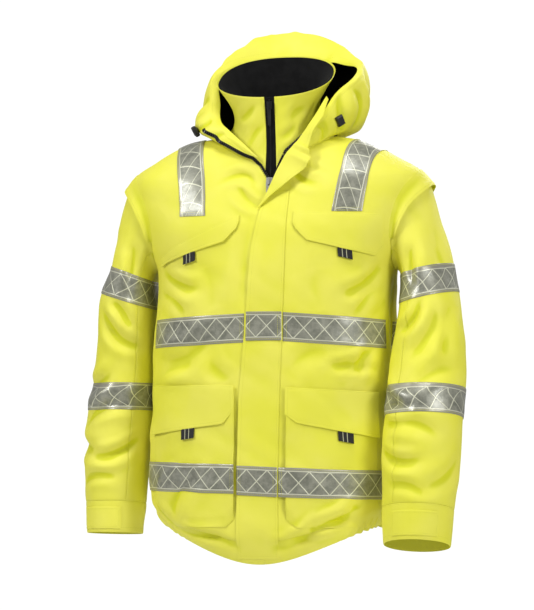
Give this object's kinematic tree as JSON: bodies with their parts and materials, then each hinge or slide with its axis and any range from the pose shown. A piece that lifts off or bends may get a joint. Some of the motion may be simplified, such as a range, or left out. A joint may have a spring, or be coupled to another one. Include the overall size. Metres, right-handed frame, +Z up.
{
  "type": "hi-vis work jacket",
  "caption": "Worn-form hi-vis work jacket with stand collar, hood, reflective bands, storm flap, zips, pockets and open cuffs.",
  "frame": {"origin": "middle of the neck's base, between the two shoulders that carry the jacket", "axes": "+Z up, the front faces -Y, +X is the wearer's left"},
  "size_m": [0.6996, 0.3395, 0.9577],
  "materials": {
    "shell_cloth": "coated woven polyester, soft sheen",
    "reflective_tape": "glossy grey retroreflective tape",
    "black_cloth": "matt black lining and zip tape",
    "black_plastic": "moulded black plastic",
    "silver_metal": "satin zip metal"
  },
  "bodies": {
    "root": {"right_front": "shell_cloth", "left_front": "shell_cloth", "back_panel": "shell_cloth", "hem_casing_right": "shell_cloth", "hem_casing_left": "shell_cloth", "hem_casing_back": "shell_cloth", "storm_flap": "shell_cloth", "flap_turnback": "shell_cloth", "chest_flap_right": "shell_cloth", "chest_flap_left": "shell_cloth", "lower_pocket_right": "shell_cloth", "lower_pocket_left": "shell_cloth", "lower_flap_right": "shell_cloth", "lower_flap_left": "shell_cloth", "collar": "shell_cloth", "hood": "shell_cloth", "right_sleeve_under": "shell_cloth", "right_sleeve_upper": "shell_cloth", "right_cuff": "shell_cloth", "right_cuff_tab": "shell_cloth", "right_shoulder_cap": "shell_cloth", "right_cuff_lining": "shell_cloth", "left_sleeve_under": "shell_cloth", "left_sleeve_upper": "shell_cloth", "left_cuff": "shell_cloth", "left_cuff_tab": "shell_cloth", "left_shoulder_cap": "shell_cloth", "left_cuff_lining": "shell_cloth", "chest_band_right": "reflective_tape", "chest_band_flap": "reflective_tape", "chest_band_left": "reflective_tape", "hem_band_right": "reflective_tape", "hem_band_flap": "reflective_tape", "hem_band_left": "reflective_tape", "chest_band_back": "reflective_tape", "hem_band_back": "reflective_tape", "shoulder_tape_right": "reflective_tape", "shoulder_tape_left": "reflective_tape", "right_sleeve_band_upper": "reflective_tape", "right_sleeve_band_lower": "reflective_tape", "left_sleeve_band_upper": "reflective_tape", "left_sleeve_band_lower": "reflective_tape", "collar_lining": "black_cloth", "hood_lining": "black_cloth", "inner_zip_tape": "black_cloth", "outer_zip_tape_right": "black_cloth", "outer_zip_tape_left": "black_cloth", "chest_tab_right": "black_plastic", "chest_tab_left": "black_plastic", "lower_tab_right": "black_plastic", "lower_tab_left": "black_plastic", "cord_lock_right": "black_plastic", "cord_lock_left": "black_plastic", "inner_zip_slider": "black_plastic", "outer_zip_slider": "silver_metal"},
    "outer_pull": {"outer_zip_pull": "silver_metal"},
    "inner_pull": {"inner_zip_pull": "black_plastic"}
  },
  "joints": [
    {"name": "outer_pull_swing", "type": "hinge", "parent": "root", "child": "outer_pull", "pos_m": [0.007, -0.10898, -0.07766], "axis": [-1, 0, 0], "range_deg": [0, 130]},
    {"name": "inner_pull_swing", "type": "hinge", "parent": "root", "child": "inner_pull", "pos_m": [0.00319, -0.08991, 0.05864], "axis": [-1, 0, 0], "range_deg": [0, 130]}
  ]
}
